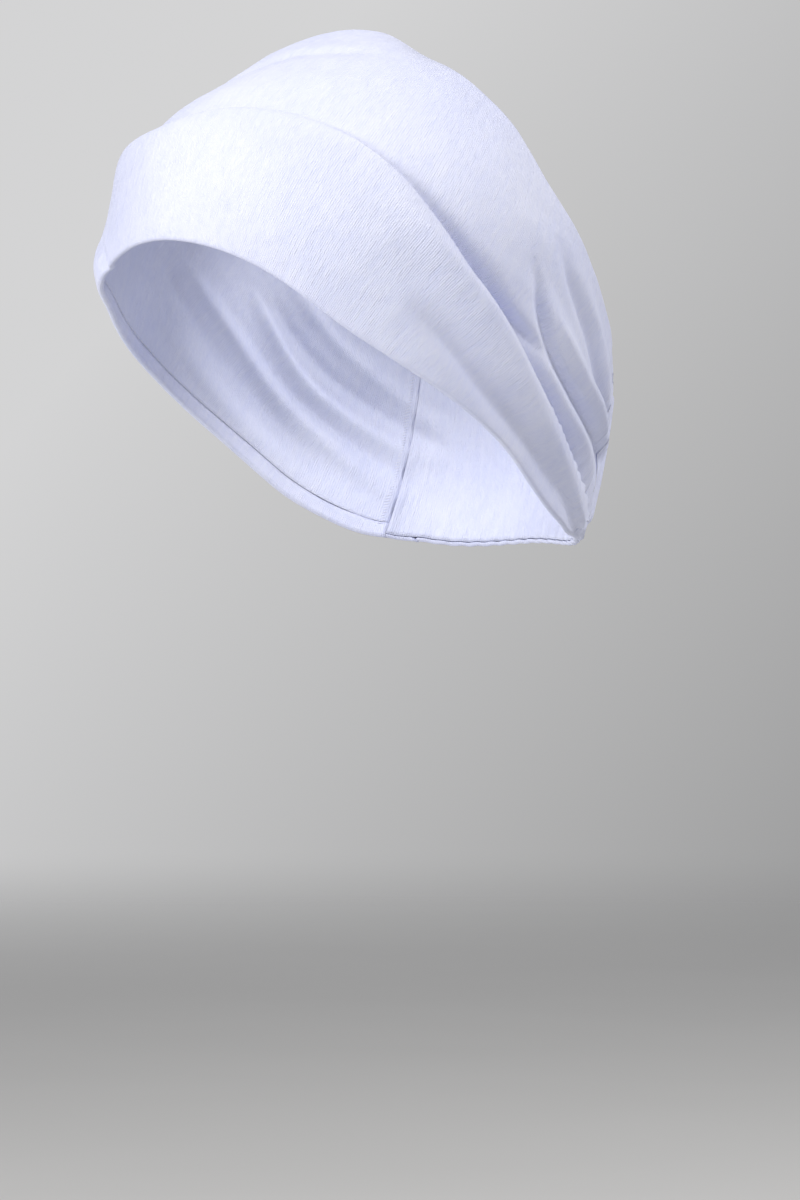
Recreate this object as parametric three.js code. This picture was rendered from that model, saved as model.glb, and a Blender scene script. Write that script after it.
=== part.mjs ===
// A wide stretch headband of two jersey layers, in the shape that it takes on a head.
//
// Millimetres, +Z up, the face towards -Y, and the origin at the middle of the head that fills it.
// Every layer follows one head form at its own distance, so the pieces nest inside each other.
// Places on the form are a longitude round the band (0 at the brow, 180 at the nape, positive
// towards +X) and a latitude across it, both in degrees about an axis that leans back.
import * as THREE from "three";

// Head form
const HEAD_HALF_WIDTH = 75;
const HEAD_HALF_DEPTH = 96;
const NAPE_HALF_DEPTH = 91.5;
const CROWN_HEIGHT = 82.5;
const JAW_DROP = 170;
const BAND_LEAN = 40;

// Lines round one half of the band as [longitude, latitude]; the other half mirrors them.
const LOWER_HEM = [
  [0, -34.6], [30, -35], [60, -38.4], [90, -35.6], [120, -29], [134, -26.2], [148, -21], [160, -14.8], [180, -9.5],
];
const RIDGE_SEAM = [
  [0, -8.5], [20, -3.2], [40, -1], [52, -2.4], [66, -5.2], [78, -8], [90, -10], [104, -12.1], [122, -14.2], [148, -13],
];
const UPPER_HEM = [
  [0, 48], [30, 45.5], [55, 39.7], [70, 36], [87, 28.8], [105, 24.2], [130, 18.8], [155, 16.8], [180, 16],
];

// Cloth, thread and elastic
const JERSEY = 0.8;
const THREAD = 0.4;
const THREAD_ROW = 2;
const ELASTIC = 1.2;
const ELASTIC_WIDTH = 30;
const CLEARANCE = 0.3;

// Sewing: distances on the cloth
const LAP_WIDTH = 5;
const LAP_RAMP = 4;
const LINING_PEEK = 2.5;
const HEM_ALLOWANCE = 1.5;
const CASING_EDGE = 6;
const CASING_RAMP = 3;
const REAR_SEAM_X = 50;
const TACK_LENGTH = 6;
const TACK_INSET = 2;

// Mesh fineness
const FRONT_COLUMNS = 56;
const REAR_COLUMNS = 16;

// Distance of each layer's inner face from the head form, worked outwards.
const LINING_IN = CLEARANCE;
const POCKET_IN = LINING_IN + JERSEY + CLEARANCE;
const OUTER_IN = POCKET_IN + THREAD + CLEARANCE;
const RIDGE_THREAD_IN = OUTER_IN + JERSEY + CLEARANCE;
const LAP_LIFT = JERSEY + THREAD + 2 * CLEARANCE;
const TACK_IN = POCKET_IN + ELASTIC + CLEARANCE;
const CASING_LIFT = TACK_IN + THREAD + CLEARANCE - OUTER_IN;

const FRONT_END_X = REAR_SEAM_X + CLEARANCE / 2;
const REAR_END_X = REAR_SEAM_X - CLEARANCE / 2;

const lean = THREE.MathUtils.degToRad(BAND_LEAN);
const AXIS = new THREE.Vector3(0, Math.sin(lean), Math.cos(lean));
const FRONT = new THREE.Vector3(0, -Math.cos(lean), Math.sin(lean));
const SIDE = new THREE.Vector3(1, 0, 0);

// Half depth of the form: the back of the head narrows towards the nape.
function halfDepth(direction) {
  if (direction.y <= 0) return HEAD_HALF_DEPTH;
  const rise = THREE.MathUtils.radToDeg(Math.asin(direction.z));
  return THREE.MathUtils.lerp(NAPE_HALF_DEPTH, HEAD_HALF_DEPTH, THREE.MathUtils.smoothstep(rise, -15, 20));
}

// The point that lies `offset` outside the form, square to its ellipsoid.
function formPoint(longitude, latitude, offset) {
  const along = THREE.MathUtils.degToRad(longitude);
  const across = THREE.MathUtils.degToRad(latitude);
  const direction = new THREE.Vector3()
    .addScaledVector(FRONT, Math.cos(across) * Math.cos(along))
    .addScaledVector(SIDE, Math.cos(across) * Math.sin(along))
    .addScaledVector(AXIS, Math.sin(across));
  const height = direction.z > 0 ? CROWN_HEIGHT : JAW_DROP;
  const semiAxes = new THREE.Vector3(HEAD_HALF_WIDTH, halfDepth(direction), height);
  const point = direction.clone().divideScalar(direction.clone().divide(semiAxes).length());
  const normal = point.clone().divide(semiAxes).divide(semiAxes).normalize();
  return point.addScaledVector(normal, offset);
}

// Latitude of a line at any longitude: a smooth curve through its points, level past the last.
function onLine(line, longitude) {
  const wrapped = Math.abs(THREE.MathUtils.euclideanModulo(longitude + 180, 360) - 180);
  const slopeAt = (k) => {
    if (k === 0 || k === line.length - 1) return 0;
    return (line[k + 1][1] - line[k - 1][1]) / (line[k + 1][0] - line[k - 1][0]);
  };
  if (wrapped >= line.at(-1)[0]) return line.at(-1)[1];
  const next = Math.max(1, line.findIndex(([at]) => at >= wrapped));
  const [from, to] = [line[next - 1], line[next]];
  const span = to[0] - from[0];
  const t = (wrapped - from[0]) / span;
  const ease = t * t * (3 - 2 * t);
  const leaving = t * (1 - t) * (1 - t) * span * slopeAt(next - 1);
  const arriving = t * t * (1 - t) * span * slopeAt(next);
  return from[1] + (to[1] - from[1]) * ease + leaving - arriving;
}

// A row of a piece: the line it follows, how far above that line it runs and how far the cloth
// is lifted there.
function row(line, above = 0, lift = 0) {
  const latitude = (longitude) => {
    const base = onLine(line, longitude);
    const reach = formPoint(longitude, base, 0).length();
    return base + THREE.MathUtils.radToDeg(above / reach);
  };
  return { latitude, lift };
}

// Rows that divide the space between two rows evenly, without the two themselves.
function between(lower, upper, count) {
  return Array.from({ length: count }, (_, k) => {
    const t = (k + 1) / (count + 1);
    return {
      latitude: (longitude) => THREE.MathUtils.lerp(lower.latitude(longitude), upper.latitude(longitude), t),
      lift: THREE.MathUtils.lerp(lower.lift, upper.lift, t),
    };
  });
}

// Longitude at which a row of cloth reaches the plane at this X behind the ear.
function longitudeAtX(x, clothRow, offset) {
  let [near, far] = [100, 180];
  for (let step = 0; step < 40; step++) {
    const middle = (near + far) / 2;
    if (formPoint(middle, clothRow.latitude(middle), offset + clothRow.lift).x > x) near = middle;
    else far = middle;
  }
  return near;
}

// Where the columns of a piece start and end on a row. Each stretch is square to its end planes.
const aroundFront = (clothRow, offset) => {
  const end = longitudeAtX(FRONT_END_X, clothRow, offset);
  return [-end, end];
};
const aroundRear = (inset) => (clothRow, offset) => {
  const start = longitudeAtX(REAR_END_X - inset, clothRow, offset);
  return [start, 360 - start];
};
const besideSeam = (side, nearX, farX) => (clothRow, offset) => {
  const ends = [longitudeAtX(farX, clothRow, offset), longitudeAtX(nearX, clothRow, offset)];
  return side > 0 ? ends : [-ends[1], -ends[0]];
};

// One closed sheet of cloth, thread or elastic over the form.
function sheet(rows, stretch, columns, innerOffset, thickness) {
  const positions = [];
  const index = [];
  const width = columns + 1;
  const faceSize = width * rows.length;
  [innerOffset, innerOffset + thickness].forEach((offset) => {
    rows.forEach((clothRow) => {
      const [start, end] = stretch(clothRow, offset);
      for (let column = 0; column < width; column++) {
        const longitude = THREE.MathUtils.lerp(start, end, column / columns);
        const point = formPoint(longitude, clothRow.latitude(longitude), offset + clothRow.lift);
        positions.push(point.x, point.y, point.z);
      }
    });
  });
  const at = (outer, line, column) => outer * faceSize + line * width + column;
  const quad = (a, b, c, d) => index.push(a, b, c, a, c, d);
  for (let line = 0; line < rows.length - 1; line++) {
    for (let column = 0; column < columns; column++) {
      quad(at(1, line, column), at(1, line, column + 1), at(1, line + 1, column + 1), at(1, line + 1, column));
      quad(at(0, line, column), at(0, line + 1, column), at(0, line + 1, column + 1), at(0, line, column + 1));
    }
    quad(at(0, line, 0), at(1, line, 0), at(1, line + 1, 0), at(0, line + 1, 0));
    quad(at(0, line, columns), at(0, line + 1, columns), at(1, line + 1, columns), at(1, line, columns));
  }
  const top = rows.length - 1;
  for (let column = 0; column < columns; column++) {
    quad(at(0, 0, column), at(0, 0, column + 1), at(1, 0, column + 1), at(1, 0, column));
    quad(at(0, top, column), at(1, top, column), at(1, top, column + 1), at(0, top, column + 1));
  }
  const geometry = new THREE.BufferGeometry();
  geometry.setAttribute("position", new THREE.Float32BufferAttribute(positions, 3));
  geometry.setIndex(index);
  geometry.computeVertexNormals();
  return geometry;
}

// Rows of the panels. The brow panel laps over the crown panel along the ridge seam.
const lowerHem = row(LOWER_HEM);
const rampFoot = row(RIDGE_SEAM, -LAP_WIDTH - LAP_RAMP);
const rampTop = row(RIDGE_SEAM, -LAP_WIDTH);
const ridge = row(RIDGE_SEAM);
const upperHem = row(UPPER_HEM);
const browRows = [lowerHem, ...between(lowerHem, rampFoot, 3), rampFoot];
const crownRows = [ridge, ...between(ridge, upperHem, 6), upperHem];
const raised = (clothRow, lift) => ({ ...clothRow, lift });
const threadRows = (line, above, lift = 0) => [row(line, above, lift), row(line, above + THREAD_ROW, lift)];

// Rows of the casing: its edges lie flat and its middle is lifted over the elastic.
function casingRows(lift) {
  const bottom = row(LOWER_HEM, CASING_EDGE + CASING_RAMP, lift);
  const top = row(UPPER_HEM, -CASING_EDGE - CASING_RAMP, lift);
  const body = between(bottom, top, 3);
  return [lowerHem, row(LOWER_HEM, CASING_EDGE), bottom, ...body, top, row(UPPER_HEM, -CASING_EDGE), upperHem];
}

// Rows of a strip of this width along the middle of the casing.
function middleRows(width) {
  const centre = (longitude) => (onLine(LOWER_HEM, longitude) + onLine(UPPER_HEM, longitude)) / 2;
  return [-0.5, -0.25, 0, 0.25, 0.5].map((share) => ({
    latitude: (longitude) => {
      const reach = formPoint(longitude, centre(longitude), 0).length();
      return centre(longitude) + THREE.MathUtils.radToDeg((share * width) / reach);
    },
    lift: 0,
  }));
}

const standard = (color, roughness) => new THREE.MeshStandardMaterial({ color, roughness, metalness: 0 });
const outerJersey = standard(0xe9ebf7, 0.82);
const liningJersey = standard(0xd5d4e3, 0.88);
const wovenElastic = standard(0xf0efec, 0.7);
const sewingThread = standard(0xf2f3fa, 0.6);

const headband = new THREE.Group();

function add(name, geometry, material) {
  const mesh = new THREE.Mesh(geometry, material);
  mesh.name = name;
  headband.add(mesh);
}

function addFront(name, rows, innerOffset, thickness, material) {
  add(name, sheet(rows, aroundFront, FRONT_COLUMNS, innerOffset, thickness), material);
}

function addRear(name, rows, inset, innerOffset, thickness, material) {
  add(name, sheet(rows, aroundRear(inset), REAR_COLUMNS, innerOffset, thickness), material);
}

// Panels
const lapRows = [raised(rampTop, LAP_LIFT), raised(ridge, LAP_LIFT)];
addFront("brow_panel", [...browRows, ...lapRows], OUTER_IN, JERSEY, outerJersey);
addFront("crown_panel", [rampTop, ...crownRows], OUTER_IN, JERSEY, outerJersey);
const liningRows = [...browRows, rampTop, ...crownRows, row(UPPER_HEM, LINING_PEEK)];
addFront("lining_panel", liningRows, LINING_IN, JERSEY, liningJersey);

// Casing and elastic at the nape
addRear("rear_casing_outer", casingRows(CASING_LIFT), 0, OUTER_IN, JERSEY, outerJersey);
addRear("rear_casing_inner", casingRows(0), 0, LINING_IN, JERSEY, liningJersey);
addRear("elastic_strip", middleRows(ELASTIC_WIDTH), CLEARANCE, POCKET_IN, ELASTIC, wovenElastic);

// Rows of stitching, each between the two layers that it holds
const ridgeStitch = threadRows(RIDGE_SEAM, -LAP_WIDTH + HEM_ALLOWANCE);
addFront("ridge_seam_thread", ridgeStitch, RIDGE_THREAD_IN, THREAD, sewingThread);
addFront("lower_hem_thread", threadRows(LOWER_HEM, HEM_ALLOWANCE), POCKET_IN, THREAD, sewingThread);
const upperStitch = threadRows(UPPER_HEM, -HEM_ALLOWANCE - THREAD_ROW);
addFront("upper_hem_thread", upperStitch, POCKET_IN, THREAD, sewingThread);
addRear("casing_bottom_thread", threadRows(LOWER_HEM, HEM_ALLOWANCE), 0, POCKET_IN, THREAD, sewingThread);
addRear("casing_top_thread", upperStitch, 0, POCKET_IN, THREAD, sewingThread);

const seamClear = HEM_ALLOWANCE + THREAD_ROW + 2 * CLEARANCE;
const seamBottom = row(LOWER_HEM, seamClear);
const seamTop = row(UPPER_HEM, -seamClear);
const seamRows = [seamBottom, rampTop, ...crownRows.slice(0, -1), seamTop];
const seamNear = FRONT_END_X + HEM_ALLOWANCE;
const tackNear = REAR_END_X - TACK_INSET;
for (const [name, side] of [["left", 1], ["right", -1]]) {
  const join = besideSeam(side, seamNear, seamNear + THREAD_ROW);
  add(name + "_join_thread", sheet(seamRows, join, 1, POCKET_IN, THREAD), sewingThread);
  const tack = besideSeam(side, tackNear - TACK_LENGTH, tackNear);
  const tackRows = middleRows(ELASTIC_WIDTH - 2 * TACK_INSET);
  add(name + "_elastic_tack", sheet(tackRows, tack, 2, TACK_IN, THREAD), sewingThread);
}

export default headband;
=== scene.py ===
"""A wide two-layer jersey headband in the shape that it takes on a head.

Every layer is a strip of cloth over one head form. A place on the form is a longitude round the band
(0 at the brow, 180 at the nape, positive towards the wearer's left) and a latitude across it, both in
degrees about an axis that leans back. Lengths are in metres.
"""
import math
from typing import NamedTuple

import bpy
import numpy as np
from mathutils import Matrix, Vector, noise


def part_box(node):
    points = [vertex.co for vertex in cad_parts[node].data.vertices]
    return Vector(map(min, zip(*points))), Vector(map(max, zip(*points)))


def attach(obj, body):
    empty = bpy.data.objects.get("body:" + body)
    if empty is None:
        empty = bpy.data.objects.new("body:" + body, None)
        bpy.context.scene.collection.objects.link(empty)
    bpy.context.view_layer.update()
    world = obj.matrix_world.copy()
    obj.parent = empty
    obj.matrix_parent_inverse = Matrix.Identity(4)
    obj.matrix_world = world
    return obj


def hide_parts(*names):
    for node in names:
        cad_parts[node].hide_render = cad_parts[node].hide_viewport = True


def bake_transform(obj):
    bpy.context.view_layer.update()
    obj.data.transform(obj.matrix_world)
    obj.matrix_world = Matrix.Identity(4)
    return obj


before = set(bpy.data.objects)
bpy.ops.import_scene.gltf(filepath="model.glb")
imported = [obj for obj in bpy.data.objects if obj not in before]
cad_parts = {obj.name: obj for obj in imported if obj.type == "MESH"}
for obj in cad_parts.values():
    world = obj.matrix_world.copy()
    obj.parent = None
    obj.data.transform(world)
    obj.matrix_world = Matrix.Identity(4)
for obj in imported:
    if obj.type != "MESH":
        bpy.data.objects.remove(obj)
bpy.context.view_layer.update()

bl_info = {
    "name": "Jersey Headband",
    "version": (1, 0, 0),
    "blender": (4, 5, 0),
    "location": "3D View > Sidebar > Headband",
    "description": "Builds a wide two-layer stretch headband with a lapped brow panel and a gathered nape",
    "category": "Add Mesh",
}

MM = 0.001
# how far the lining's outer face is from the head
LINING_FACE = 1.1 * MM
# the elastic: its width and thickness, its plane off the head and how far it stops short of each seam
ELASTIC_WIDTH = 30 * MM
ELASTIC_THICKNESS = 0.7 * MM
ELASTIC_PLANE = 1.65 * MM
ELASTIC_INSET = 1.2 * MM
# width of one of its rubber cords, in millimetres
CORD_PITCH = 1.3
# how far the elastic holds the outer casing out
CASING_LIFT = 1.6 * MM
# how far each strip stops short of a rear seam, for the cloth and for its stitches
BUTTED = 0.02 * MM
CLEARANCE = 0.3 * MM

LINING_LOW, LINING_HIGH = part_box("lining_panel")
HEAD_HALF_WIDTH = (LINING_HIGH.x - LINING_LOW.x) / 2 - LINING_FACE


# ---------------------------------------------------------------- sizes and colours

def length(name, description, default, **extra):
    """A property for a length."""
    return bpy.props.FloatProperty(
        name=name, description=description, default=default, unit="LENGTH", precision=4, **extra)


def number(name, description, default, **extra):
    """A property for a plain number."""
    return bpy.props.FloatProperty(name=name, description=description, default=default, **extra)


def colour(name, description, default):
    """A property for a linear colour."""
    return bpy.props.FloatVectorProperty(
        name=name, description=description, default=default, subtype="COLOR", min=0, max=1)


class HeadFormSizes(bpy.types.PropertyGroup):
    """The head that fills the band."""

    half_width: length("Half width", "Half the head's width", HEAD_HALF_WIDTH)
    half_depth: length("Half depth", "Middle of the head to the brow", -LINING_LOW.y - LINING_FACE)
    crown: length("Crown", "Middle of the head to its top", LINING_HIGH.z - LINING_FACE)
    nape: length("Nape depth", "Middle of the head to the back, below the bulge", 0.0915)
    jaw: length("Jaw drop", "How far down the form would close", 0.170)
    lean: number("Lean", "How far the band's axis leans back", math.radians(40), subtype="ANGLE")


class ClothSizes(bpy.types.PropertyGroup):
    """The jersey, its edges and its seams."""

    jersey: length("Jersey", "Thickness of one layer", 0.8 * MM)
    inner_plane: length("Lining plane", "Head to the middle of the lining", 0.7 * MM)
    hem_radius: length("Hem radius", "Radius of the turned hem, at the middle of the cloth", 0.9 * MM)
    turn: length("Turning", "How far the outer jersey turns inside at the lower hem", 4 * MM)
    lap: length("Lap", "How far the brow panel laps over the crown panel", 5 * MM)
    lap_lift: length("Lap lift", "How far the lap stands off the crown panel", 1.9 * MM)
    lap_radius: length("Lap radius", "Radius of the lap's turned edge", 0.5 * MM)
    seam_x: length("Rear seam", "Distance of each rear seam from the middle", 50 * MM)
    seam_dip: length("Seam dip", "How far the cloth is drawn in at a rear seam", 0.9 * MM)
    casing_stitch: length("Casing stitches", "Distance of each casing stitch row from its hem", 6.5 * MM)
    peek: length("Lining peek", "How far the lining shows past the upper hem", 2.6 * MM)
    wale: length("Wale", "Width of one knitted rib", 0.75 * MM)
    course: length("Course", "Height of one knitted row", 0.55 * MM)
    knit_depth: length("Knit depth", "Height of the knit's relief", 0.09 * MM)


class DrapeSizes(bpy.types.PropertyGroup):
    """How the cloth folds and gathers."""

    fold_scale: number("Folds", "Multiplies the depth of every fold", 1.0, min=0, max=2)
    ripple: length("Ripple", "Height of the cloth's gentle unevenness", 0.35 * MM)
    ripple_length: length("Ripple length", "Length of that unevenness along the band", 26 * MM)
    gathers: bpy.props.IntProperty(
        name="Gathers", description="Number of gathers along the nape casing", default=17, min=3, max=60)
    gather_depth: length("Gather depth", "Height of the gathers on the outer casing", 1.15 * MM)
    seed: bpy.props.IntProperty(name="Seed", description="Seed of the unevenness", default=4, min=0)


class ColourChoices(bpy.types.PropertyGroup):
    """Colours of the cloth and the stage."""

    outer: colour("Outer jersey", "Cool white face of the cloth", (0.732, 0.760, 0.985))
    lining: colour("Lining", "Inner layer", (0.70, 0.73, 0.92))
    elastic: colour("Elastic", "Woven elastic", (0.80, 0.80, 0.79))
    thread: colour("Thread", "Sewing thread", (0.78, 0.80, 0.95))
    backdrop: colour("Backdrop", "Studio floor and wall", (0.62, 0.62, 0.625))


class StageSizes(bpy.types.PropertyGroup):
    """Camera, floor and lights."""

    azimuth: number("Azimuth", "Where the camera stands round it", math.radians(50), subtype="ANGLE")
    distance: length("Distance", "Camera to the middle of the head", 1.8)
    camera_drop: length("Camera drop", "How far the level camera is below the middle of the head", 0.112)
    camera_side: length("Camera side", "How far to the head's right the camera's axis passes", 0.01183)
    lens: number("Lens", "Focal length in millimetres", 154.8)
    floor_drop: length("Floor drop", "How far the floor is below the middle of the head", 0.40)
    key: number("Key light", "Power of the key light in watts", 18.6)
    top: number("Top light", "Power of the light above in watts", 16.0)
    fill: number("Fill light", "Power of the fill light in watts", 9.0)
    ambient: number("Ambient", "Strength of the surrounding light", 1.0)


# ---------------------------------------------------------------- the head form and lines on it

class HeadForm:
    """An egg of ellipsoid parts, with places given by longitude and latitude."""

    def __init__(self, sizes):
        self.sizes = sizes
        self.axis = np.array([0, math.sin(sizes.lean), math.cos(sizes.lean)])
        self.front = np.array([0, -math.cos(sizes.lean), math.sin(sizes.lean)])
        self.side = np.array([1.0, 0, 0])

    def place(self, longitude, latitude, offset=0.0):
        """Points this far outside the form, square to its ellipsoid."""
        along = np.radians(longitude)[..., None]
        across = np.radians(latitude)[..., None]
        around = np.cos(along) * self.front + np.sin(along) * self.side
        direction = np.cos(across) * around + np.sin(across) * self.axis
        rise = np.degrees(np.arcsin(np.clip(direction[..., 2], -1, 1)))
        bulge = ramp(rise, -15, 20)
        rear_depth = self.sizes.nape + (self.sizes.half_depth - self.sizes.nape) * bulge
        semi = np.stack([
            np.full_like(rise, self.sizes.half_width),
            np.where(direction[..., 1] > 0, rear_depth, self.sizes.half_depth),
            np.where(direction[..., 2] > 0, self.sizes.crown, self.sizes.jaw),
        ], axis=-1)
        point = direction / np.linalg.norm(direction / semi, axis=-1, keepdims=True)
        normal = point / semi ** 2
        normal /= np.linalg.norm(normal, axis=-1, keepdims=True)
        return point + normal * np.asarray(offset)[..., None]

    def degrees(self, longitude, latitude, distance):
        """The angle across the band that a distance on the form takes."""
        reach = np.linalg.norm(self.place(longitude, latitude), axis=-1)
        return np.degrees(distance / reach)


def ramp(value, start, end):
    """A smooth step from 0 at start to 1 at end."""
    t = np.clip((value - start) / (end - start), 0, 1)
    return t * t * (3 - 2 * t)


def smooth_line(stations, longitude):
    """A smooth curve through stations of (longitude, latitude), level past its ends."""
    at = np.array([s[0] for s in stations], float)
    value = np.array([s[1] for s in stations], float)
    slope = np.zeros(len(at))
    slope[1:-1] = (value[2:] - value[:-2]) / (at[2:] - at[:-2])
    x = np.clip(longitude, at[0], at[-1])
    k = np.clip(np.searchsorted(at, x) - 1, 0, len(at) - 2)
    span = at[k + 1] - at[k]
    t = (x - at[k]) / span
    blend = value[k] + (value[k + 1] - value[k]) * t * t * (3 - 2 * t)
    return blend + span * t * (1 - t) * ((1 - t) * slope[k] - t * slope[k + 1])


# Lines round the band as (longitude, latitude), from the wearer's right round the brow to the left.
LOWER_HEM = [(-180, -9.5), (-160, -14.8), (-148, -21), (-134, -26.2), (-120, -29.4), (-90, -36),
             (-60, -39.6), (-34, -38.8), (-14, -36.4), (8, -34.4), (30, -35), (60, -38.7), (80, -37.6),
             (100, -33.8), (120, -29), (134, -26.2), (148, -21), (160, -14.8), (180, -9.5)]
RIDGE_SEAM = [(-148, -13), (-122, -14.4), (-104, -12.6), (-90, -10.8), (-72, -8.8), (-50, -8.4),
              (-30, -10), (-4, -9.2), (12, -4.7), (26, -2.2), (39, -0.9), (52, -2.1), (66, -5),
              (78, -8), (90, -10), (104, -12.1), (122, -14.2), (148, -13)]
UPPER_HEM = [(-180, 16), (-155, 16.8), (-130, 18.8), (-105, 24.2), (-87, 28.8), (-70, 36), (-55, 39.7),
             (-30, 45.5), (0, 48), (30, 45.5), (55, 40.2), (70, 36.4), (87, 29), (105, 24.2),
             (130, 18.8), (155, 16.8), (180, 16)]


def wrap(longitude):
    """Longitude brought to -180..180."""
    return (np.asarray(longitude) + 180) % 360 - 180


def lower_hem(longitude):
    return smooth_line(LOWER_HEM, wrap(longitude))


def ridge_seam(longitude):
    return smooth_line(RIDGE_SEAM, wrap(longitude))


def upper_hem(longitude):
    return smooth_line(UPPER_HEM, wrap(longitude))


# ---------------------------------------------------------------- folds

class Fold(NamedTuple):
    """A crease in the cloth. Depth is negative for a ridge; widths and depth are in millimetres."""

    path: list
    depth: float
    above: float
    below: float
    rise: float = 0.35
    fall: float = 0.2


class Swell(NamedTuple):
    """A broad rise of the cloth off the head, or a hollow. Spread is in degrees, rise in millimetres."""

    centre: tuple
    spread: tuple
    rise: float


LEFT_FOLDS = [
    # the crease along the ridge seam, and the rounded ridge below it
    Fold([(40, 0.2), (52, -1.6), (60, -3.2), (71, -5.6), (81, -8.0), (91, -9.2), (104, -11.6),
          (116, -13.5), (136, -13.6), (156, -12.0)], 4.0, 5.2, 2.6, 0.40, 0.1),
    Fold([(44, -4.6), (55, -8.0), (68, -10.3), (82, -12.1), (96, -13.6), (111, -15.9), (128, -17.6),
          (146, -17.6)], -2.0, 3.0, 8.0, 0.3, 0.3),
    # the rounded top of the brow panel over the forehead, and the hollow above it
    Fold([(-34, -12.6), (-16, -11.6), (-4, -10.6), (12, -6.2), (26, -3.8), (39, -2.6),
          (50, -4.4)], -1.3, 3.0, 8.0, 0.15, 0.25),
    Fold([(-40, -6.0), (-16, -8.0), (-4, -7.2), (12, -2.6), (26, 0.2), (39, 1.4),
          (50, 1.0)], 1.3, 9.0, 2.4, 0.2, 0.3),
    # the thin crease that leaves the ridge seam
    Fold([(88, -8.6), (96, -8.6), (104, -8.6), (112, -8.4), (122, -8.0)], 2.0, 2.4, 2.6, 0.3, 0.5),
    # the sharp crease behind the temple, with a ridge on each side
    Fold([(92, 7.0), (99, 3.4), (106, -1.2), (116, -5.2), (129, -5.6), (143, -3.7),
          (158, -2.0)], 4.0, 2.2, 4.2, 0.4, 0.1),
    Fold([(103, 3.6), (114, 0.4), (129, -0.8), (143, 0.3), (158, 1.5)], -2.6, 3.2, 3.4, 0.35, 0.1),
    Fold([(106, -6.2), (118, -9.8), (128, -10.2), (142, -8.1), (156, -7.0)], -1.3, 3.0, 3.0, 0.35, 0.1),
    Fold([(96, 17.6), (108, 12.1), (122, 8.5), (136, 4.8), (156, 4.0)], 2.6, 4.0, 3.4, 0.35, 0.1),
    Fold([(108, 17.0), (122, 13.4), (138, 9.8), (156, 8.5)], -1.0, 3.0, 3.2, 0.4, 0.1),
    # soft creases on the brow panel
    Fold([(70, -24.5), (78, -26.4), (92, -27.1), (105, -27.1), (117, -25.2), (138, -21.0),
          (152, -17.5)], 2.6, 6.5, 4.0, 0.35, 0.2),
    Fold([(84, -20.0), (100, -21.0), (118, -21.0), (142, -19.5)], -0.8, 4.5, 4.5),
    Fold([(58, -15.0), (70, -19.0), (84, -22.0)], 0.8, 6.0, 6.0, 0.5, 0.5),
    # the hollow under the rolled upper hem at the crown
    Fold([(-24, 12.0), (-10, 17.0), (4, 20.0), (16, 24.0), (26, 30.0),
          (38, 34.0)], 1.5, 3.2, 5.5, 0.3, 0.5),
]
RIGHT_FOLDS = [
    Fold([(-36, -8.6), (-54, -7.2), (-72, -7.9), (-90, -9.9), (-106, -11.9), (-122, -13.6),
          (-140, -13.0), (-156, -12)], 2.8, 6.0, 2.8, 0.5, 0.1),
    Fold([(-46, -12.6), (-66, -12.8), (-86, -14.6), (-108, -16.8), (-134, -17.6),
          (-148, -17.0)], -1.4, 3.2, 7.5, 0.3, 0.3),
    Fold([(-94, 4.6), (-104, 0.6), (-118, -4.2), (-132, -5.2), (-158, -2.6)], 2.7, 2.4, 4.0, 0.4, 0.1),
    Fold([(-100, 7.4), (-114, 3.2), (-130, 0.8), (-158, 1.6)], -1.7, 3.2, 3.4, 0.35, 0.1),
    Fold([(-98, 15.0), (-114, 10.6), (-132, 7.0), (-156, 5.0)], 1.6, 4.0, 3.4, 0.35, 0.1),
    Fold([(-104, -6.0), (-120, -9.2), (-136, -9.0), (-154, -7.4)], -1.1, 3.0, 3.0, 0.35, 0.1),
    Fold([(-68, -23.0), (-88, -26.0), (-110, -25.6), (-134, -21.6),
          (-152, -17.5)], 1.6, 6.0, 4.2, 0.35, 0.2),
    Fold([(-58, 13.0), (-76, 9.0), (-98, 7.0)], 0.8, 6.0, 5.0, 0.5, 0.5),
    # the tuck where the band turns round the right temple
    Fold([(-20, -37.4), (-24, -33.0), (-28, -28.5), (-27, -23.0)], 1.8, 2.4, 2.4, 0.15, 0.4),
]
SWELLS = [
    Swell((-31, -33), (9, 8), 3.2),
    Swell((-21, -13), (9, 6), 1.6),
    Swell((-11, 14), (20, 14), -4.6),
    Swell((4, 44), (14, 8), 1.0),
    Swell((34, 48), (12, 9), -2.6),
    Swell((62, -28), (26, 9), 0.5),
    Swell((100, 14), (22, 8), 0.8),
]
# length of a degree on the form, near the sides of the head
MM_PER_DEGREE = 1.72


def fold_samples(path, count=72):
    """Shares of the way along a fold, and points on a smooth curve through its path."""
    points = np.array(path, float)
    knots = np.linspace(0, 1, len(points))
    t = np.linspace(0, 1, count)
    return t, np.stack([smooth_line(list(zip(knots, points[:, k])), t) for k in (0, 1)], axis=-1)


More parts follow.
